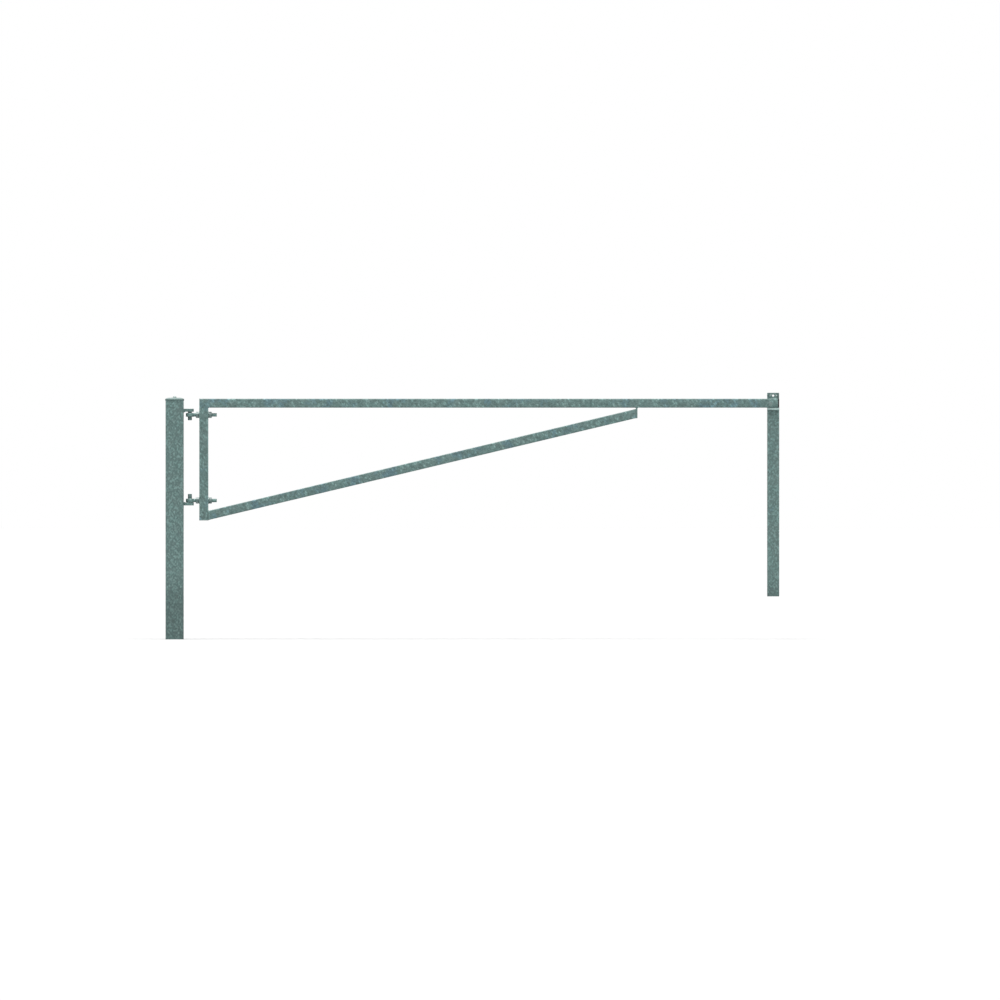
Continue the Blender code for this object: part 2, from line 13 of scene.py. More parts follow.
import bmesh
import bpy
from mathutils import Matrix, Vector


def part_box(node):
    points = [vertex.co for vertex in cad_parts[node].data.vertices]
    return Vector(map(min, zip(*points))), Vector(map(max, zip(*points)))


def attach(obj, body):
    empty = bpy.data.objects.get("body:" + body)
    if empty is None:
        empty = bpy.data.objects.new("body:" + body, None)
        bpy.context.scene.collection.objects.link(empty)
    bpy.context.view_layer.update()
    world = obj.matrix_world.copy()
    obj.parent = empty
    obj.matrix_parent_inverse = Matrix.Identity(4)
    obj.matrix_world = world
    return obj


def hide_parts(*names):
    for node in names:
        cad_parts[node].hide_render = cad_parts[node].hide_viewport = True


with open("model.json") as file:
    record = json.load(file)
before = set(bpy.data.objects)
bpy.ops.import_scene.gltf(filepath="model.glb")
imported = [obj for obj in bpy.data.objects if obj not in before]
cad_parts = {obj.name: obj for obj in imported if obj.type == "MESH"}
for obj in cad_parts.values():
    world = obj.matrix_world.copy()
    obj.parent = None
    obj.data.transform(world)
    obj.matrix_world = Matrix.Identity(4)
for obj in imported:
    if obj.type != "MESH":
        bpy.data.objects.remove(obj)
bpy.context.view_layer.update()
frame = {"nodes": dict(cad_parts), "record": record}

solids = frame["nodes"]

# %% [markdown]
# ## The camera
# The photograph shows the barrier square from the front, and its edges show no perspective at all: the
# hinge post at the far left hides its own side. A camera with a very long lens, far away, sees that.
# One pixel of the photograph covers 6.683 mm at the barrier, which fixes the lens, and the pixels of
# the hinge post's middle and foot fix where the camera aims.

# %% Place the camera
PIXELS_ACROSS = 1000
METRES_PER_PIXEL = 0.006683
POST_MIDDLE_PIXEL, POST_FOOT_PIXEL = 174.65, 639.34
CAMERA_DISTANCE = 120

camera_data = bpy.data.cameras.new("camera")
camera_data.sensor_width = 36
camera_data.lens = camera_data.sensor_width * CAMERA_DISTANCE / (PIXELS_ACROSS * METRES_PER_PIXEL)
camera_data.clip_end = 1000
camera = bpy.data.objects.new("camera", camera_data)
camera.location = (
    (PIXELS_ACROSS / 2 - POST_MIDDLE_PIXEL) * METRES_PER_PIXEL,
    -CAMERA_DISTANCE,
    (POST_FOOT_PIXEL - PIXELS_ACROSS / 2) * METRES_PER_PIXEL,
)
camera.rotation_euler = (pi / 2, 0, 0)
bpy.context.scene.collection.objects.link(camera)
bpy.context.scene.camera = camera
bpy.context.scene.view_settings.view_transform = "Standard"
print("lens:", round(camera_data.lens), "mm, camera height:", round(camera.location.z, 3), "m")

# %% [markdown]
# ## Writing shader maths as Python
# A material is a net of nodes. Wiring it by hand hides the idea, so one small class wraps a node's
# output and lets Python's own operators add the nodes: `tone * 0.9 + 0.1` makes two of them. Numbers go
# through Math nodes. Colours go through Mix and directions through Vector Math, since a Math node
# would turn a colour grey. Any other node comes from the method `node`.

# %% A field: something that varies over a surface
# The Mix node has a set of sockets for each kind of value, and these are the ones for colours.
MIX_SHARE, MIX_FIRST, MIX_SECOND, MIX_RESULT = 0, 6, 7, 2

class Field:
    """A number, colour or direction that varies over a surface: the output socket of a node."""

    def __init__(self, tree, socket=None):
        self.tree = tree
        self.socket = socket

    def node(self, kind, settings=None, sockets=None, output=0):
        """Adds a node: its settings first, then what its sockets hold or are linked to."""
        made = self.tree.nodes.new(kind)
        for name, value in (settings or {}).items():
            setattr(made, name, value)
        for key, value in (sockets or {}).items():
            if isinstance(value, Field):
                self.tree.links.new(value.socket, made.inputs[key])
            else:
                made.inputs[key].default_value = value
        return Field(self.tree, made.outputs[output])

    def combine(self, operation, first, second):
        """Joins two values by the node that suits their kind."""
        kinds = {part.socket.type for part in (first, second) if isinstance(part, Field)}
        kinds |= {"RGBA" if len(part) == 4 else "VECTOR"
                  for part in (first, second) if isinstance(part, tuple)}
        if "VECTOR" in kinds:
            first, second = ((part,) * 3 if isinstance(part, (int, float)) else part
                             for part in (first, second))
            return self.node("ShaderNodeVectorMath", {"operation": operation}, {0: first, 1: second})
        if "RGBA" in kinds:
            first, second = ((part, part, part, 1) if isinstance(part, (int, float)) else part
                             for part in (first, second))
            settings = {"data_type": "RGBA", "blend_type": operation}
            return self.node("ShaderNodeMix", settings,
                             {MIX_SHARE: 1.0, MIX_FIRST: first, MIX_SECOND: second}, MIX_RESULT)
        return self.node("ShaderNodeMath", {"operation": operation}, {0: first, 1: second})

    def __add__(self, other):
        return self.combine("ADD", self, other)

    def __sub__(self, other):
        return self.combine("SUBTRACT", self, other)

    def __rsub__(self, other):
        return self.combine("SUBTRACT", other, self)

    def __mul__(self, other):
        return self.combine("MULTIPLY", self, other)

    __radd__ = __add__
    __rmul__ = __mul__

    def between(self, low, high, start=0.0, end=1.0):
        """Start up to low, end from high on, and a smooth change between them."""
        sockets = {"Value": self, "From Min": low, "From Max": high, "To Min": start, "To Max": end}
        return self.node("ShaderNodeMapRange", {"interpolation_type": "SMOOTHSTEP"}, sockets)

    def towards(self, other, share):
        """This colour mixed with another: share 0 keeps it, and share 1 gives the other."""
        return self.node("ShaderNodeMix", {"data_type": "RGBA"},
                         {MIX_SHARE: share, MIX_FIRST: self, MIX_SECOND: other}, MIX_RESULT)

    def pick(self, first, second):
        """The first colour where this number is 0, the second where it is 1, and mixes between."""
        return self.node("ShaderNodeMix", {"data_type": "RGBA"},
                         {MIX_SHARE: self, MIX_FIRST: first, MIX_SECOND: second}, MIX_RESULT)

print("a field has:", [name for name in vars(Field) if not name.startswith("__")])

# %% [markdown]
# ## The stage
# The photograph stands on pure white. A pale floor, lit until it just reaches white, gives that and
# still keeps the barrier's shadow. It also throws light back up, so the undersides of the tubes are
# as bright as their fronts, as they are in the photograph. The world shows white to the camera and to
# reflections, but lights the scene only a little.

# %% Lay the floor
FLOOR_HALF_WIDTH = 450
FLOOR_COLOUR = (0.665, 0.665, 0.665, 1)
FLOOR_ROUGHNESS = 0.9

def add_object(name, bm, material):
    """Turns a finished bmesh into an object."""
    mesh = bpy.data.meshes.new(name)
    bmesh.ops.recalc_face_normals(bm, faces=bm.faces)
    bm.to_mesh(mesh)
    bm.free()
    mesh.materials.append(material)
    made = bpy.data.objects.new(name, mesh)
    bpy.context.scene.collection.objects.link(made)
    return made

floor_material = bpy.data.materials.new("pale floor")
floor_material.use_nodes = True
floor_shader = floor_material.node_tree.nodes["Principled BSDF"]
floor_shader.inputs["Base Color"].default_value = FLOOR_COLOUR
floor_shader.inputs["Roughness"].default_value = FLOOR_ROUGHNESS
floor_shader.inputs["Specular IOR Level"].default_value = 0.0
floor_sheet = bmesh.new()
bmesh.ops.create_grid(floor_sheet, x_segments=1, y_segments=1, size=FLOOR_HALF_WIDTH)
floor = add_object("floor", floor_sheet, floor_material)
print("floor:", 2 * FLOOR_HALF_WIDTH, "m square")

# %% Light the world
SKY_LIGHT = 0.25

world = bpy.data.worlds.new("studio")
bpy.context.scene.world = world
world.use_nodes = True
sky = world.node_tree.nodes["Background"]
sky.inputs["Color"].default_value = (1, 1, 1, 1)
air = Field(world.node_tree)
seen = air.node("ShaderNodeLightPath", output="Is Camera Ray")
mirrored = air.node("ShaderNodeLightPath", output="Is Glossy Ray")
through = air.node("ShaderNodeLightPath", output="Is Transmission Ray")
strength = SKY_LIGHT + (1 - SKY_LIGHT) * (seen + mirrored + through)
world.node_tree.links.new(strength.socket, sky.inputs["Strength"])
print("the sky lights at", SKY_LIGHT, "and shows at 1")

# %% Hang the lamps
def add_lamp(name, strength, elevation, azimuth, softness):
    """A broad, distant lamp. Azimuth 0 is in front of the barrier, and 90 is off its right end."""
    lamp_data = bpy.data.lights.new(name, "SUN")
    lamp_data.energy = strength * pi
    lamp_data.angle = radians(softness)
    lamp = bpy.data.objects.new(name, lamp_data)
    lamp.rotation_euler = (pi / 2 - radians(elevation), 0, radians(azimuth))
    bpy.context.scene.collection.objects.link(lamp)

add_lamp("overhead_lamp", strength=1.25, elevation=73, azimuth=-10, softness=50)
add_lamp("right_lamp", strength=0.14, elevation=25, azimuth=70, softness=60)
add_lamp("left_lamp", strength=0.08, elevation=25, azimuth=-60, softness=60)
print("lamps:", [lamp.name for lamp in bpy.data.lights])

# %% [markdown]
# ## Hot-dip galvanised steel
# Molten zinc freezes on the steel as a mosaic of crystals, the spangle. Each crystal lies at its own
# angle, so it takes the light a little differently, shows fine feathering that runs its own way, and
# now and then flashes bright. Wider clouds of green-grey and blue-grey come from how fast the steel
# cooled, and faint streaks from how the zinc drained off. The recipe follows that, from small to large:
# Voronoi cells give the crystals, noise turned by each cell's own random angles gives the feathering,
# stretched cells give the flecks, and soft noise gives clouds, streaks and drift. The same fields also
# change the roughness and the relief, so that the finish holds up close to and in other light.
# The posts froze with a finer and more even grain than the arm. Random cells alone would clump there,
# so a checker pattern, read at each cell's centre, picks out every other crystal.
# Use leaves a mark as well, where the padlock hangs against the arm. The pale patches on the lock tab,
# the cap's button and the nuts are painted highlights, and tops are whitened as painted light from above.

# %% Choose the zinc's colours
GREEN_ZINC = (0.123, 0.209, 0.197, 1)
BLUE_ZINC = (0.104, 0.186, 0.204, 1)
WARM_ZINC = (0.133, 0.203, 0.193, 1)
PALE_ZINC = (0.62, 0.70, 0.68, 1)

def connect(material, finish):
    """Gives the material's shader these colours, numbers and fields."""
    shader = material.node_tree.nodes["Principled BSDF"]
    for name, value in finish.items():
        if isinstance(value, Field):
            material.node_tree.links.new(value.socket, shader.inputs[name])
        else:
            shader.inputs[name].default_value = value

def new_material(name):
    material = bpy.data.materials.new(name)
    material.use_nodes = True
    return material, Field(material.node_tree)

print("zinc colours:", GREEN_ZINC[:3], BLUE_ZINC[:3], WARM_ZINC[:3])

# %% Noise, crystals and flecks
FLECK_LEAN = radians(30)
FLECK_STRETCH = (1.0, 1.0, 0.5)
FEATHER_STRETCH = (1.0, 1.0, 0.12)
GRAIN_STRETCH = (1.0, 1.0, 0.8)

def noise(field, place, size, detail=2.0, distortion=0.0, output="Fac"):
    """Soft noise whose patches are about this many metres across."""
    sockets = {"Vector": place, "Scale": 1 / size, "Detail": detail, "Distortion": distortion}
    return field.node("ShaderNodeTexNoise", None, sockets, output)

def cells(field, place, size, output="Color"):
    """A mosaic of cells about this many metres across, each with its own random colour."""
    return field.node("ShaderNodeTexVoronoi", None, {"Vector": place, "Scale": 1 / size}, output)

def first_part(colour):
    """The red part of a random colour, which serves as a random number."""
    return colour.node("ShaderNodeSeparateColor", None, {0: colour}, "Red")

def height_of(vector):
    return vector.node("ShaderNodeSeparateXYZ", None, {0: vector}, "Z")

def facing_up(field):
    """1 on a level top, 0 on an upright face and -1 underneath."""
    return height_of(field.node("ShaderNodeNewGeometry", output="Normal"))

def feathering(field, place, mosaic, size):
    """Fine streaks that run a different way in each cell of the mosaic."""
    turned = field.node("ShaderNodeVectorRotate", {"rotation_type": "EULER_XYZ"},
                        {"Vector": place, "Rotation": mosaic * (2 * pi)})
    return noise(field, turned * FEATHER_STRETCH, size, 1.0)

def flecks(field, place, size, share):
    """1 on the few crystals that catch the light, which all lean one way, and 0 elsewhere."""
    leaning = field.node("ShaderNodeVectorRotate", {"rotation_type": "Y_AXIS"},
                         {"Vector": place, "Angle": FLECK_LEAN}) * FLECK_STRETCH
    chosen = first_part(cells(field, leaning, size)).between(1 - share, 1 - share * 0.8)
    return chosen * cells(field, leaning, size, "Distance").between(0.25, 0.60, 1.0, 0.15)

def even_grain(field, place, size):
    """Every other crystal is bright, some more than others, so that the grain is fine and even."""
    stretched = place * GRAIN_STRETCH
    nearest = cells(field, stretched, size, "Position")
    chosen = field.node("ShaderNodeTexChecker", None, {"Vector": nearest, "Scale": 1 / size}, "Fac")
    return chosen * (first_part(cells(field, stretched, size)) * 1.6 + 0.2)

def turned_corners(field):
    """1 where the surface turns between two faces of a tube, and 0 on the faces themselves."""
    normal = field.node("ShaderNodeNewGeometry", output="Normal")
    squares = normal * normal
    size = field.node("ShaderNodeVectorMath", {"operation": "LENGTH"}, {0: squares}, "Value")
    return size.between(0.75, 0.97, 1.0, 0.0)

def worn_edges(field, radius):
    """The surface's direction with its edges rounded off, and 1 where an edge is, which wears bright."""
    rounded = field.node("ShaderNodeBevel", {"samples": 4}, {"Radius": radius})
    normal = field.node("ShaderNodeNewGeometry", output="Normal")
    product = {"operation": "DOT_PRODUCT"}
    same = field.node("ShaderNodeVectorMath", product, {0: rounded, 1: normal}, "Value")
    return rounded, same.between(0.85, 0.995, 1.0, 0.0)

print("flecks lean", round(degrees(FLECK_LEAN)), "degrees")

# %% Grease, painted shade and pale patches
GREASE_AND_SHADE = (0.020, 0.026, 0.025, 1)

def greased_and_shaded(field, place, low, high):
    """1 close above and below these heights, where grease has been squeezed out and, as painted shade, where
    the lug and eye shade the pin; 0 further off.
    """
    middle, half = (low + high) / 2, (high - low) / 2
    away = field.node("ShaderNodeMath", {"operation": "ABSOLUTE"}, {0: height_of(place) - middle}) - half
    return (away + noise(field, place, 0.006) * 0.008).between(0.004, 0.011, 1.0, 0.0)

def worn_and_lit_patch(field, place, middle, reach):
    """1 in the middle of a pale patch, and 0 beyond this reach along X, Y and Z from it. Some patches are
    wear, and some painted highlights.
    """
    away = (place - middle) * tuple(1 / length for length in reach)
    distance = field.node("ShaderNodeVectorMath", {"operation": "LENGTH"}, {0: away}, "Value")
    return (distance + noise(field, place, 0.005) * 0.4).between(0.8, 1.3, 1.0, 0.0)

print("grease colour:", GREASE_AND_SHADE[:3])

# %% Mix the zinc
CRYSTAL_SIZE, GRIT_SIZE, FEATHER_SIZE = 0.014, 0.0065, 0.0016
FLECK_SIZE, FLECK_SHARE, EVEN_GRAIN_SIZE = 0.0115, 0.34, 0.0105
CLOUD_SIZE, WARM_PATCH_SIZE, DRIFT_SIZE = 0.045, 0.06, 0.13
STREAK_SIZE, STREAK_STRETCH = 0.016, (1.0, 1.0, 0.1)
WANDER_SIZE, CRYSTAL_WANDER, FLECK_WANDER = 0.02, 0.012, 0.004
SMALL_EDGE = 0.0012
DARKER_BELOW, DARKER_UP_TO, FOOT_TONE = 0.22, 0.47, 0.71

def galvanised(name, brightness=1.0, blue_from=0.55, cloudiness=0.35, sparkle=1.0, painted_top_light=0.2, metal=0.3,
               grain=1.0, evenness=0.0, edge_tone=0.15, corner_highlight=0.0, darker_foot=False, grease_and_shade=None,
               patches_of_wear_and_light=(), shift=(0.0, 0.0, 0.0)):
    """Zinc on steel. blue_from is the noise level at which blue-grey patches begin; tops are whitened as
    painted light.
    """
    material, field = new_material(name)
    place = field.node("ShaderNodeTexCoord", output="Object")
    moved = place + shift
    wander = noise(field, moved, WANDER_SIZE * grain, output="Color") - 0.5
    bent = moved + wander * (CRYSTAL_WANDER * grain)
    mosaic = cells(field, bent, CRYSTAL_SIZE * grain)
    crystal = first_part(mosaic)
    grit = first_part(cells(field, bent, GRIT_SIZE * grain))
    feather = feathering(field, moved, mosaic, FEATHER_SIZE)
    bright = flecks(field, moved + wander * (FLECK_WANDER * grain), FLECK_SIZE * grain, FLECK_SHARE)
    rounded, edge = worn_edges(field, SMALL_EDGE)
    cloud = noise(field, bent, CLOUD_SIZE, 3.0, 0.8)
    streak = noise(field, moved * STREAK_STRETCH, STREAK_SIZE, 2.0)
    drift = noise(field, bent, DRIFT_SIZE, 2.0, 0.6)

    warmth = (grit * 0.5 + noise(field, bent, WARM_PATCH_SIZE)).between(0.55, 1.1)
    blueness = (drift + crystal * 0.12).between(blue_from, blue_from + 0.18)
    colour = warmth.pick(GREEN_ZINC, WARM_ZINC).towards(BLUE_ZINC, blueness)
    tone = (crystal - 0.5) * 0.32 + (grit - 0.5) * 0.40 + bright * (0.35 + feather * 0.5) - 0.09
    tone = tone + (feather - 0.5) * 0.25
    tone = tone * sparkle + (cloud - 0.5) * cloudiness + (streak - 0.5) * 0.08 + edge * edge_tone
    if evenness:
        tone = tone + (even_grain(field, bent, EVEN_GRAIN_SIZE) - 0.5) * evenness
    # Painted highlight: the rounded corners of the tube are brightened, as lit edges.
    if corner_highlight:
        tone = tone + turned_corners(field) * corner_highlight
    tone = (tone + 1.0) * brightness
    # The posts grow darker towards their foot.
    if darker_foot:
        tone = tone * height_of(place).between(DARKER_BELOW, DARKER_UP_TO, FOOT_TONE, 1.0)
    # Painted light: what faces up is whitened, as if lit from above.
    top_light_share = facing_up(field).between(0.3, 1.0) * (cloud + streak) * painted_top_light
    colour = (colour * tone).towards(PALE_ZINC, top_light_share)
    # Pale patches: wear where the padlock hangs, and painted highlights on the lock tab and the cap's
    # button.
    for middle, reach, share in patches_of_wear_and_light:
        mark = worn_and_lit_patch(field, place, middle, reach) * facing_up(field).between(0.3, 1.0, 1.0, 0.4)
        colour = colour.towards(PALE_ZINC, mark * (0.7 + grit * 0.6) * share)
    roughness = 0.60 - crystal * 0.12 - bright * 0.10 + feather * 0.06 - edge * 0.08
    if grease_and_shade:
        # Grease on the pins, made darker as painted shade in the gaps beside the eyes.
        grease_and_shade_film = greased_and_shaded(field, place, *grease_and_shade)
        colour = colour.towards(GREASE_AND_SHADE, grease_and_shade_film * 0.88)
        roughness = roughness - grease_and_shade_film * 0.2

    relief = crystal * 0.5 + feather * 0.15 + grit * 0.15 + cloud * 1.5 + streak
    connect(material, {
        "Base Color": colour,
        "Metallic": metal + crystal * 0.12,
        "Roughness": roughness,
        "Normal": field.node("ShaderNodeBump", None,
                             {"Strength": 0.3, "Distance": 0.0005, "Height": relief, "Normal": rounded}),
    })
    return material

print("crystals:", CRYSTAL_SIZE * 1000, "mm across on the arm")

# %% Find the pale patches
# Each one is a middle, how far it reaches along X, Y and Z, and how bright it is.
THROUGH = 1.0
PADLOCK_HEIGHT = 1.6325

tab_low, tab_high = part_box("lock_tab")
cap_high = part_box("hinge_post_cap")[1]
# Painted highlights: the lock tab's face is lit paler beside its hole.
tab_highlight = ((3.985, tab_low.y, PADLOCK_HEIGHT), (0.015, THROUGH, 0.0085), 0.20)
tab_side_highlight = ((4.016, tab_low.y, PADLOCK_HEIGHT), (0.011, THROUGH, 0.0085), 0.13)
# A small pale spot on the tab, right of its hole.
tab_pale_spot = ((4.0222, tab_low.y, 1.6296), (0.0050, THROUGH, 0.0050), 0.7)
hanging_rub = ((3.981, 0.0, 1.573), (0.014, THROUGH, 0.022), 0.12)
# Painted highlight: the cap's button, pale where light falls on it from above.
button_highlight = ((0.0, 0.0, cap_high.z - 0.0035), (0.017, 0.017, 0.0092), 0.8)
print("the padlock hangs at", PADLOCK_HEIGHT, "m")

# %% Mix a finish for each kind of piece
ARM_SHIFT = (0.41, 0.0, 0.0)

post_zinc = galvanised("post zinc", 0.91, blue_from=0.74, cloudiness=0.0, sparkle=0.38, grain=0.60,
                       evenness=0.33, darker_foot=True)
arm_zinc = galvanised("arm zinc", 0.94, blue_from=0.57, cloudiness=0.22, painted_top_light=0.12, patches_of_wear_and_light=[hanging_rub],
                      shift=ARM_SHIFT)
heel_zinc = galvanised("heel zinc", 0.90, blue_from=0.57, cloudiness=0.22, painted_top_light=0.12, corner_highlight=0.8,
                       shift=ARM_SHIFT)
fitting_zinc = galvanised("fitting zinc", 1.0, blue_from=0.70, sparkle=0.7, painted_top_light=0.1)
bolt_zinc = galvanised("bolt zinc", 1.10, blue_from=0.70, sparkle=0.5, painted_top_light=0.25)
end_zinc = galvanised("end plate zinc", 0.88, blue_from=0.70, sparkle=0.7)
tab_zinc = galvanised("tab zinc", 0.92, blue_from=0.70, sparkle=0.8, painted_top_light=0.0, edge_tone=0.0,
                      patches_of_wear_and_light=[tab_highlight, tab_side_highlight, tab_pale_spot])
plate_zinc = galvanised("plate zinc", 0.80, blue_from=0.70, painted_top_light=0.0)
shelf_zinc = galvanised("shelf zinc", 0.80, blue_from=0.70, sparkle=0.6, painted_top_light=0.1, metal=0.15)
cap_zinc = galvanised("cap zinc", 0.80, blue_from=0.70, sparkle=0.4, painted_top_light=0.22, patches_of_wear_and_light=[button_highlight])
weld_zinc = galvanised("weld zinc", 1.0, blue_from=0.70, sparkle=0.4)
# Painted highlight: a brighter weld zinc, for a bead's lit toe.
highlit_weld_zinc = galvanised("highlit weld zinc", 1.35, blue_from=0.70, sparkle=0.4)
# Painted shade: a darker weld zinc, for beads that lie in shade.
shaded_weld_zinc = galvanised("shaded weld zinc", 0.62, blue_from=0.70, sparkle=0.4, painted_top_light=0.05)
pin_zinc = {}
for level in ("upper", "lower"):
    eye_low, eye_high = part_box(level + "_eye_bolt")
    pin_zinc[level] = galvanised(level + " pin zinc", 0.95, sparkle=0.7, grease_and_shade=(eye_low.z, eye_high.z))
print("zinc finishes:", [material.name for material in bpy.data.materials if "zinc" in material.name])

# %% [markdown]
# ## Nuts, washers and the black plug
# The nuts and washers carry a thinner coat of zinc than the tubes, so they are a little brighter and
# show no large crystals, only fine grain. Their tops are whitened, and their undersides paled a little,
# as painted light. Each nut has a finish of its own, with its own strength of painted light on its top
# and across its front. The plug in the arm's tip is moulded plastic: almost black, with the fine grain of
# its mould and a soft sheen.

# %% Finish the fasteners and the plug
FASTENER_ZINC = (0.112, 0.168, 0.163, 1)
BLACK_PLASTIC = (0.006, 0.008, 0.008, 1)
DUSTY_PLASTIC = (0.022, 0.025, 0.024, 1)
FASTENER_EDGE = 0.0008

def zinc_coat(name, painted_light_on_tops=0.7, patches_of_wear_and_light=()):
    """A thin coat. What faces up is whitened as painted light from above, by the share given."""
    material, field = new_material(name)
    place = field.node("ShaderNodeTexCoord", output="Object")
    grain = noise(field, place, 0.0018, 3.0)
    tarnish = noise(field, place, 0.012, 2.0)
    rounded, edge = worn_edges(field, FASTENER_EDGE)
    colour = ((grain - 0.5) * 0.4 + (tarnish - 0.5) * 0.8 + edge * 0.5 + 1.0) * FASTENER_ZINC
    up = facing_up(field)
    # Painted light: what faces up is whitened.
    colour = colour.towards(PALE_ZINC, up.between(0.2, 0.8) * painted_light_on_tops)
    for middle, reach, share in patches_of_wear_and_light:
        colour = colour.towards(PALE_ZINC, worn_and_lit_patch(field, place, middle, reach) * share)
    connect(material, {
        # Painted light: what faces down is paled a little, as if lit from the floor.
        "Base Color": colour.towards(PALE_ZINC, up.between(-0.8, -0.2, 0.17, 0.0)),
        "Metallic": 0.4 + tarnish * 0.2,
        "Roughness": 0.36 + grain * 0.16,
        "Normal": field.node("ShaderNodeBump", None,
                             {"Strength": 0.2, "Distance": 0.0002, "Height": grain, "Normal": rounded}),
    })
    return material

def moulded_plastic(name):
    material, field = new_material(name)
    place = field.node("ShaderNodeTexCoord", output="Object")
    grain = noise(field, place, 0.0009, 2.0)
    dust = noise(field, place, 0.015, 3.0)
    connect(material, {
        "Base Color": dust.between(0.5, 0.75).pick(BLACK_PLASTIC, DUSTY_PLASTIC),
        "Specular IOR Level": 0.3,
        "Roughness": 0.45 + grain * 0.2,
        "Normal": field.node("ShaderNodeBump", None,
                             {"Strength": 0.3, "Distance": 0.0002, "Height": grain}),
    })
    return material

fastener_zinc = zinc_coat("fastener zinc")
black_plastic = moulded_plastic("black plastic")
print("plastic:", BLACK_PLASTIC[:3], "dust:", DUSTY_PLASTIC[:3])

# %% Paint light onto the nuts
FRONT_LIGHT_BELOW_TOP = 0.0104
FRONT_LIGHT_REACH = 0.1

# Each nut has the strength of its painted top light, and the height and brightness of a band of painted
# light across its front.
nut_looks = {
    "upper_inner_nut": (0.35, 0.0050, 0.45),
    "upper_outer_nut": (0.8, 0.0100, 0.20),
    "lower_inner_nut": (0.7, 0.0060, 0.10),
    "lower_outer_nut": (0.3, 0.0130, 0.12),
}
nut_zinc = {}
for node, (painted_light_on_tops, reach, share) in nut_looks.items():
    nut_low, nut_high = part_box(node)
    front_light_middle = ((nut_low.x + nut_high.x) / 2, nut_low.y, nut_high.z - FRONT_LIGHT_BELOW_TOP)
    painted_front_light = (front_light_middle, (FRONT_LIGHT_REACH, FRONT_LIGHT_REACH, reach), share)
    nut_zinc[node] = zinc_coat(node.replace("_", " ") + " zinc", painted_light_on_tops, [painted_front_light])
print("worn:", list(nut_zinc))

# %% [markdown]
# ## Dressing the solids
# The solids come as bare triangles, each shaded flat. A small Geometry Nodes modifier joins their
# corners and smooths the shading across every edge that turns less than 30 degrees, so the rounded
# corners of the tubes look round and the cut ends stay crisp. It moves no point.

# %% Smooth the shading
SHARP_FROM = radians(30)
SAME_POINT = 0.00001

def shading_group():
    """The modifier's nodes: join the corners, then mark as sharp what turns more than the limit."""
    group = bpy.data.node_groups.new("even shading", "GeometryNodeTree")
    group.interface.new_socket("Geometry", in_out="INPUT", socket_type="NodeSocketGeometry")
    group.interface.new_socket("Geometry", in_out="OUTPUT", socket_type="NodeSocketGeometry")
    inside = Field(group)
    shape = inside.node("NodeGroupInput")
    joined = inside.node("GeometryNodeMergeByDistance", None, {"Geometry": shape, "Distance": SAME_POINT})
    angle = inside.node("GeometryNodeInputMeshEdgeAngle")
    sharp = inside.node("FunctionNodeCompare", {"operation": "GREATER_THAN"}, {0: angle, 1: SHARP_FROM})
    shaded = inside.node("GeometryNodeSetMeshNormal", {"mode": "SHARPNESS"},
                         {"Mesh": joined, "Remove Custom": True, "Edge Sharpness": sharp})
    group.links.new(shaded.socket, group.nodes.new("NodeGroupOutput").inputs[0])
    return group

even_shading = shading_group()
for solid in solids.values():
    solid.modifiers.new("Even shading", "NODES").node_group = even_shading
print("smoothed:", len(solids), "solids")

# %% Give each solid its finish
finish_of_slot = {
    "galvanised_post": post_zinc,
    "galvanised_arm": arm_zinc,
    "galvanised_fitting": fitting_zinc,
    "zinc_fasteners": fastener_zinc,
    "black_plastic": black_plastic,
}
for subpart in frame["record"]["subparts"]:
    solid = solids[subpart["node"]]
    solid.material_slots[0].material = finish_of_slot[subpart["material_slot"]]
own_finish = {
    "hinge_post_cap": cap_zinc,
    "lock_tab": tab_zinc,
    "receiver_back_plate": plate_zinc,
    "receiver_shelf": shelf_zinc,
    "brace_end_plate": end_zinc,
    "upper_hinge_pin": pin_zinc["upper"],
    "lower_hinge_pin": pin_zinc["lower"],
    "heel_upright": heel_zinc,
    **nut_zinc,
}
for node, finish in own_finish.items():
    solids[node].material_slots[0].material = finish

# %% [markdown]
# ## Threaded eye bolts
# The arm hangs by two forged eyes, each on a threaded bar that a nut on either side clamps in the
# heel. Turning the nuts trims the arm until its tip meets the catch. The solid has a plain bar, so a
# new piece takes its place: the same ring and bar with a real M24 thread. The thread is a height
# field wrapped round the bar: how far a point stands out depends on how far it is along the bar and
# how far it is round it, so the ridge climbs 3 mm in each turn.

# %% Cut a thread
THREAD_PITCH = 0.003
THREAD_DEPTH = 0.0010
CREST_SLOPE = 3.2
THREAD_START = 0.006
STEPS_PER_TURN = 32
STEPS_PER_PITCH = 6
BAR_CHAMFER = 0.002

def bar_radius(along, turn, radius, length):
    """The bar's radius at a distance along it and a share of a turn round it."""
    height = min(1, abs((along / THREAD_PITCH - turn) % 1 - 0.5) * CREST_SLOPE)
    cut = THREAD_DEPTH * min(1, max(0, along - THREAD_START) / THREAD_PITCH)
    end = radius - BAR_CHAMFER + max(0, length - along)
    return min(radius - cut * (1 - height), end)

def threaded_bar(start, length, radius):
    """A bar along +X from start: plain where it leaves the eye, then threaded to its chamfered end."""
    bm = bmesh.new()
    rings = []
    count = round(length / THREAD_PITCH * STEPS_PER_PITCH)
    for i in range(count + 1):
        along = length * i / count
        ring = []
        for j in range(STEPS_PER_TURN):
            turn = j / STEPS_PER_TURN
            reach, angle = bar_radius(along, turn, radius, length), 2 * pi * turn
            ring.append(bm.verts.new(start + Vector((along, reach * cos(angle), reach * sin(angle)))))
        rings.append(ring)
    skin(bm, rings)
    return bm

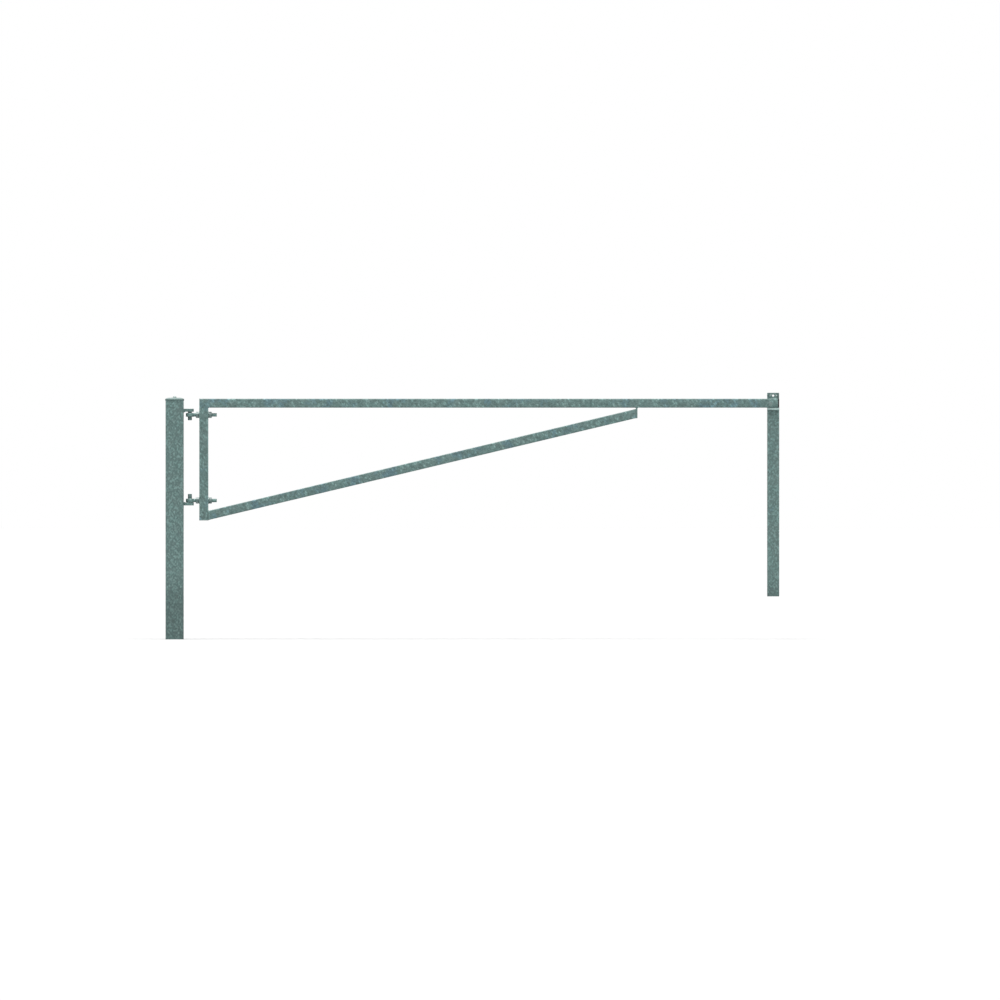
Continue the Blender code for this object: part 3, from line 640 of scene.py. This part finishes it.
def skin(bm, rings, closed=False):
    """Joins rings of points by faces. A closed skin joins its last ring to its first; others get ends."""
    pairs = list(zip(rings, rings[1:]))
    if closed:
        pairs.append((rings[-1], rings[0]))
    else:
        bm.faces.new(rings[0])
        bm.faces.new(rings[-1])
    for one, next_one in pairs:
        for i in range(len(one)):
            j = (i + 1) % len(one)
            bm.faces.new((one[i], one[j], next_one[j], next_one[i]))

print("thread:", THREAD_PITCH * 1000, "mm pitch,", THREAD_DEPTH * 1000, "mm deep")

# %% Forge the eyes
EYE_BORE = 0.0138
EYE_EDGE = 0.006
EYE_STEPS = 64
EDGE_STEPS = 6

def eye_ring(centre, outer, half):
    """A ring about a vertical axis, with its outer edges rounded."""
    section = [(EYE_BORE, half), (EYE_BORE, -half)]
    for side in (-1, 1):
        for step in range(EDGE_STEPS + 1):
            turn = pi / 2 * (step if side < 0 else EDGE_STEPS - step) / EDGE_STEPS
            reach, up = outer - EYE_EDGE + EYE_EDGE * sin(turn), half - EYE_EDGE + EYE_EDGE * cos(turn)
            section.append((reach, side * up))
    bm = bmesh.new()
    rings = []
    for i in range(EYE_STEPS):
        turn = 2 * pi * i / EYE_STEPS
        rings.append([bm.verts.new(centre + Vector((reach * cos(turn), reach * sin(turn), up)))
                      for reach, up in section])
    skin(bm, rings, closed=True)
    return bm

def smooth(piece, angle=SHARP_FROM):
    piece.data.shade_smooth()
    piece.data.set_sharp_from_angle(angle=angle)

def fuse(piece, other):
    """Joins another object's solid to this one in a single closed mesh, and clears the other away."""
    union = piece.modifiers.new("union", "BOOLEAN")
    union.operation = "UNION"
    union.object = other
    finished = piece.evaluated_get(bpy.context.evaluated_depsgraph_get())
    fused = bpy.data.meshes.new_from_object(finished)
    piece.modifiers.clear()
    piece.data = fused
    bpy.data.objects.remove(other)

print("eye:", EYE_BORE * 2000, "mm bore")

# %% Join eye and bar
BAR_RADIUS = 0.012

def eye_bolt(node):
    """The threaded eye bolt that takes this solid's place."""
    low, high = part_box(node)
    outer = (high.y - low.y) / 2
    centre = Vector((low.x + outer, 0, (low.z + high.z) / 2))
    bar_start = centre + Vector(((EYE_BORE + outer) / 2, 0, 0))
    bar = add_object(node + "_bar", threaded_bar(bar_start, high.x - bar_start.x, BAR_RADIUS), bolt_zinc)
    piece = add_object(node + "_threaded", eye_ring(centre, outer, (high.z - low.z) / 2), bolt_zinc)
    fuse(piece, bar)
    smooth(piece)
    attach(piece, "arm")
    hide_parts(node)
    return piece

for node in ("upper_eye_bolt", "lower_eye_bolt"):
    print(eye_bolt(node).name, "replaces", node)

# %% [markdown]
# ## Weld beads
# The lugs, tubes, plates and shelf are welded, and the zinc runs over the welds with the rest. A bead
# is a row of overlapping ripples, where the melt froze step by step. Each is built as a strip whose
# section swells and shrinks along the seam, with tapered ends. In a corner its section is a quarter of
# an ellipse, and across a flush seam it is a low arch.

# %% Draw a bead's section
SECTION_STEPS = 8
BEAD_SINK = 0.0003
BULGE = 0.6

def corner_section(first_leg, second_leg):
    """A bulging fillet between two faces: (distance along the first, distance along the second)."""
    points = [(-BEAD_SINK, -BEAD_SINK), (first_leg, -BEAD_SINK)]
    for step in range(1, SECTION_STEPS):
        share = step / SECTION_STEPS
        turn = pi / 2 * share
        points.append((first_leg * (BULGE * cos(turn) + (1 - BULGE) * (1 - share)),
                       second_leg * (BULGE * sin(turn) + (1 - BULGE) * share)))
    return points + [(-BEAD_SINK, second_leg)]

def seam_section(width, height):
    """A low arch over a flush seam: (distance across it, height above the face)."""
    arch = [(width / 2 * cos(pi * step / SECTION_STEPS), height * sin(pi * step / SECTION_STEPS))
            for step in range(SECTION_STEPS + 1)]
    return [(width / 2, -BEAD_SINK), *arch, (-width / 2, -BEAD_SINK)]

def rod_section(radius):
    """A round bead, for an outside corner."""
    turns = [pi * step / SECTION_STEPS for step in range(2 * SECTION_STEPS)]
    return [(radius * cos(turn), radius * sin(turn)) for turn in turns]

print("points in a round bead's section:", len(rod_section(1)))

# %% Plan a bead's path
RIPPLE = 0.0030
STEPS_PER_RIPPLE = 5
LEAST_STEPS = 4
TURN_STEPS = 8

def straight_path(start, end, first, second):
    """A path is a list of (point, first direction, second direction)."""
    start, end, first, second = Vector(start), Vector(end), Vector(first), Vector(second)
    count = max(LEAST_STEPS, round((end - start).length / RIPPLE * STEPS_PER_RIPPLE))
    return [(start.lerp(end, i / count), first, second) for i in range(count + 1)]

def path_round_tube(centre, side, rise, corner, axis):
    """A closed path round a tube's outline. side and rise reach from its centre to two of its faces."""
    centre, side, rise, axis = Vector(centre), Vector(side), Vector(rise), Vector(axis)
    path = []
    for reach, travel in ((side, rise), (rise, -side), (-side, -rise), (-rise, side)):
        outwards, onwards = reach.normalized(), travel.normalized()
        inset = travel - onwards * corner
        path += straight_path(centre + reach - inset, centre + reach + inset, axis, outwards)[:-1]
        hub = centre + reach + inset - outwards * corner
        for step in range(TURN_STEPS):
            turn = pi / 2 * step / TURN_STEPS
            facing = outwards * cos(turn) + onwards * sin(turn)
            path.append((hub + facing * corner, axis, facing))
    return path

print("a ripple is", RIPPLE * 1000, "mm long and takes", STEPS_PER_RIPPLE, "steps")

# %% Lay a bead
RIPPLE_DEPTH_SHARE = 0.16
WOBBLE_SHARE = 0.05
WOBBLES_PER_METRE = 110
WOBBLE_SHIFT = 9
END_TAPER = 0.005
END_SHARE = 0.35
BEAD_SHARP_FROM = radians(50)

def lay_bead(bm, path, section, closed=False):
    """Sweeps a section along a path, swelling and shrinking once for each ripple."""
    steps = [(b[0] - a[0]).length for a, b in zip(path, path[1:])]
    length = sum(steps)
    along = 0
    rings = []
    for (middle, first, second), step in zip(path, steps + [0]):
        size = 1 - RIPPLE_DEPTH_SHARE * ((along / RIPPLE) % 1) ** 2
        size += WOBBLE_SHARE * sin(2 * pi * WOBBLES_PER_METRE * along + WOBBLE_SHIFT * middle.z)
        if not closed:
            to_end = min(along, length - along) / min(length / 3, END_TAPER)
            size *= END_SHARE + (1 - END_SHARE) * sqrt(min(1, to_end))
        rings.append([bm.verts.new(middle + (first * a + second * b) * size) for a, b in section])
        along += step
    skin(bm, rings, closed)

def add_welds(name, body, beads, finish=weld_zinc):
    """One piece with several beads on it: each has its path and section, and says whether it closes."""
    bm = bmesh.new()
    for bead in beads:
        lay_bead(bm, *bead)
    piece = add_object(name, bm, finish)
    smooth(piece, BEAD_SHARP_FROM)
    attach(piece, body)
    print(name, len(beads), "beads")

RIGHT, LEFT = (1, 0, 0), (-1, 0, 0)
BACK, FRONT = (0, 1, 0), (0, -1, 0)
UP, DOWN = (0, 0, 1), (0, 0, -1)
print("a bead's ends shrink to", END_SHARE, "of its size")

# %% [markdown]
# ## The posts' and the heel's welds
# The lugs carry the whole arm, so each is welded at its root and down both sides. The heel and the beam
# meet in a mitre. A flush bead runs up each flat face of it and bends only a little round the tubes'
# edges, because a wide, flat bead would stand off the outer corner. A round bead covers that corner
# instead, and a fillet fills the inner one. Every place is read from the solids' boxes.

# %% Weld the lugs to the hinge post
ROOT_LEG_OUT, ROOT_LEG_DOWN, SIDE_LEG = 0.011, 0.0045, 0.006

post_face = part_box("hinge_post")[1].x
for node, facing in (("upper_hinge_lug", DOWN), ("lower_hinge_lug", UP)):
    low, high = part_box(node)
    eye_side = high.z if facing is UP else low.z
    root = straight_path((post_face, low.y, eye_side), (post_face, high.y, eye_side), RIGHT, facing)
    beads = [(root, corner_section(ROOT_LEG_OUT, ROOT_LEG_DOWN))]
    for side, y in ((FRONT, low.y), (BACK, high.y)):
        edge = straight_path((post_face, y, low.z), (post_face, y, high.z), RIGHT, side)
        beads.append((edge, corner_section(SIDE_LEG, SIDE_LEG)))
    add_welds(node + "_welds", "posts", beads)

# %% Plan the mitre
TUBE_CORNER = 0.006
MITRE_REACH = 0.95
ACROSS_MITRE = Vector((1, 0, 1)).normalized()

heel_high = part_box("heel_upright")[1]
beam_low, beam_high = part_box("top_beam")
half_across = Vector((0, beam_high.y, 0))
half_diagonal = (Vector((beam_low.x, 0, beam_high.z)) - Vector((heel_high.x, 0, beam_low.z))) / 2
mitre_middle = Vector((heel_high.x, 0, beam_low.z)) + half_diagonal

def path_over_mitre(side):
    """A path up the mitre on one face (side -1 is the front), bent a little round the tubes' edges."""
    count = round(2 * half_diagonal.length / RIPPLE * STEPS_PER_RIPPLE)
    rim = TUBE_CORNER / beam_high.y
    path = []
    for i in range(count + 1):
        reach = MITRE_REACH * (2 * i / count - 1)
        turn = asin(max(0, abs(reach) - 1 + rim) / rim)
        across = Vector((0, side * (beam_high.y - TUBE_CORNER * (1 - cos(turn))), 0))
        lean = half_diagonal.normalized() * copysign(sin(turn) / sqrt(2), reach)
        facing = (Vector((0, side * cos(turn), 0)) + lean).normalized()
        path.append((mitre_middle + half_diagonal * reach + across, ACROSS_MITRE, facing))
    return path

print("the mitre is", round(2000 * half_diagonal.length, 1), "mm long")

# %% Weld the heel to the beam
OUTER_SINK = 0.0013
INNER_SHORT = 0.004

outer_x, outer_z = beam_low.x + OUTER_SINK, beam_high.z - OUTER_SINK
outer_y = beam_high.y - TUBE_CORNER / 2
outer = straight_path((outer_x, -outer_y, outer_z), (outer_x, outer_y, outer_z), RIGHT, UP)
inner_y = beam_high.y - INNER_SHORT
inner = straight_path((heel_high.x, -inner_y, beam_low.z),
                      (heel_high.x, inner_y, beam_low.z), RIGHT, DOWN)
flush_bead = seam_section(width=0.005, height=0.0002)
add_welds("mitre_welds", "arm", [
    (path_over_mitre(-1), flush_bead),
    (path_over_mitre(1), flush_bead),
    (outer, rod_section(radius=0.0020)),
    (inner, corner_section(first_leg=0.003, second_leg=0.003)),
])

# %% [markdown]
# ## The brace's welds
# The brace leaves the heel at a slope, which no box states. It follows from three lengths that the boxes
# do give: how far the brace reaches along and up, and the width of its tube. At its root the joint is
# bevelled and has two passes; the second is brighter along its toe as a painted highlight, and dark rods
# down both sides of the heel are painted shade. At its tip an end plate closes the tube and is welded to
# it and to the beam. A foot plate closes the heel in the same way.

# %% Find the brace's slope
brace_low, brace_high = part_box("brace_tube")
tube_width = beam_high.z - beam_low.z
rise, run = brace_high.z - brace_low.z, brace_high.x - brace_low.x
slope = acos(tube_width / hypot(rise, run)) - atan2(run, rise)
half_height = Vector((0, 0, tube_width / cos(slope) / 2))
brace_top = brace_low.z + 2 * half_height.z
print("the brace climbs at", round(degrees(slope), 2), "degrees")

def path_round_brace(x):
    """A path round the brace at this distance along the barrier."""
    middle = brace_low.z + half_height.z + (x - brace_low.x) * tan(slope)
    return path_round_tube((x, 0, middle), half_across, half_height, TUBE_CORNER, RIGHT)

# %% Weld the brace's root
ROOT_BEAD, ROOT_TOE = 0.0015, 0.0075
EDGE_SHORT = 0.003
SHADE_ROD_SIZE, SHADE_ROD_PROUD = 0.0036, 0.0004
SHADE_ROD_FOOT, SHADE_ROD_TOP = 0.004, 0.002

tube_bead = seam_section(width=0.006, height=0.0006)
root_top = straight_path((heel_high.x, beam_low.y + EDGE_SHORT, brace_top),
                         (heel_high.x, beam_high.y - EDGE_SHORT, brace_top), (cos(slope), 0, sin(slope)), UP)
add_welds("brace_root_welds", "arm", [
    (path_round_brace(heel_high.x + ROOT_BEAD), tube_bead, True),
    (root_top, corner_section(first_leg=0.005, second_leg=0.004)),
])
# Painted highlight: the root's second pass is brighter along its toe.
add_welds("brace_root_toe", "arm", [
    (path_round_brace(heel_high.x + ROOT_TOE), seam_section(width=0.0045, height=0.0010), True),
], highlit_weld_zinc)
# Painted shade: dark rods down the heel's rounded edges beside the brace, where they lie in shade.
shade_rods = []
for y in (beam_low.y + SHADE_ROD_SIZE, beam_high.y - SHADE_ROD_SIZE):
    x = heel_high.x - SHADE_ROD_SIZE
    shade_rod_path = straight_path((x, y, brace_low.z + SHADE_ROD_FOOT), (x, y, brace_top + SHADE_ROD_TOP), RIGHT, FRONT)
    shade_rods.append((shade_rod_path, rod_section(SHADE_ROD_SIZE + SHADE_ROD_PROUD)))
add_welds("brace_root_shade_rods", "arm", shade_rods, shaded_weld_zinc)

# %% Weld the brace's end plate
CORNER_SHORT, CORNER_LAP = 0.0025, 0.001

end_low, end_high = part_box("brace_end_plate")
end_beads = [(path_round_brace(end_low.x), tube_bead, True)]
for x, side in ((end_low.x, LEFT), (end_high.x, RIGHT)):
    top_edge = straight_path((x, end_low.y + EDGE_SHORT, beam_low.z),
                             (x, end_high.y - EDGE_SHORT, beam_low.z), side, DOWN)
    end_beads.append((top_edge, corner_section(first_leg=0.0035, second_leg=0.0035)))
for y in (end_low.y + CORNER_SHORT, end_high.y - CORNER_SHORT):
    z = beam_low.z + CORNER_LAP
    corner = straight_path((end_low.x - CORNER_LAP, y, z), (end_high.x + CORNER_LAP, y, z), BACK, UP)
    end_beads.append((corner, rod_section(radius=0.0024)))
add_welds("brace_end_welds", "arm", end_beads)

# %% Weld the heel's foot
foot_low, foot_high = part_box("heel_foot_plate")
foot_middle = ((foot_low.x + foot_high.x) / 2, 0, foot_high.z)
half_along = Vector(((foot_high.x - foot_low.x) / 2, 0, 0))
foot = path_round_tube(foot_middle, half_along, half_across, TUBE_CORNER, UP)
foot_bead = seam_section(width=0.004, height=0.0004)
add_welds("heel_foot_welds", "arm", [(foot, foot_bead, True)])

# %% [markdown]
# ## The tip's welds
# The tab, the shelf and the back plate are thin, so their fillets are small. Their beads are darker than
# the tubes' beads as painted shade, for the shade under the shelf's lip and at the tab's foot. Those on
# the catch stop a little short of the corners.

# %% Weld the lock tab to the beam
tab_front = straight_path((tab_low.x, tab_low.y, beam_high.z),
                          (tab_high.x, tab_low.y, beam_high.z), FRONT, UP)
tab_back = straight_path((tab_low.x, tab_high.y, beam_high.z),
                         (tab_high.x, tab_high.y, beam_high.z), BACK, UP)
add_welds("lock_tab_welds", "arm", [
    (tab_front, corner_section(first_leg=0.006, second_leg=0.006)),
    (tab_back, corner_section(first_leg=0.003, second_leg=0.004)),
], finish=shaded_weld_zinc)

# %% Weld the catch to the receiving post
FRONT_SHORT, BACK_SHORT = 0.002, 0.004

plate_low, plate_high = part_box("receiver_back_plate")
shelf_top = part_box("receiver_shelf")[1].z
receiver_low, receiver_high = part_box("receiver_post")
shelf_front = straight_path((receiver_low.x + FRONT_SHORT, receiver_low.y, receiver_high.z),
                            (receiver_high.x - FRONT_SHORT, receiver_low.y, receiver_high.z), FRONT, DOWN)
shelf_back = straight_path((receiver_low.x + BACK_SHORT, receiver_high.y, receiver_high.z),
                           (receiver_high.x - BACK_SHORT, receiver_high.y, receiver_high.z), UP, BACK)
plate_back = straight_path((plate_low.x + FRONT_SHORT, plate_high.y, shelf_top),
                           (plate_high.x - FRONT_SHORT, plate_high.y, shelf_top), BACK, UP)
add_welds("shelf_welds", "posts", [
    (shelf_front, corner_section(first_leg=0.005, second_leg=0.005)),
    (shelf_back, seam_section(width=0.005, height=0.0006)),
    (plate_back, corner_section(first_leg=0.0017, second_leg=0.004)),
], finish=shaded_weld_zinc)

# %% [markdown]
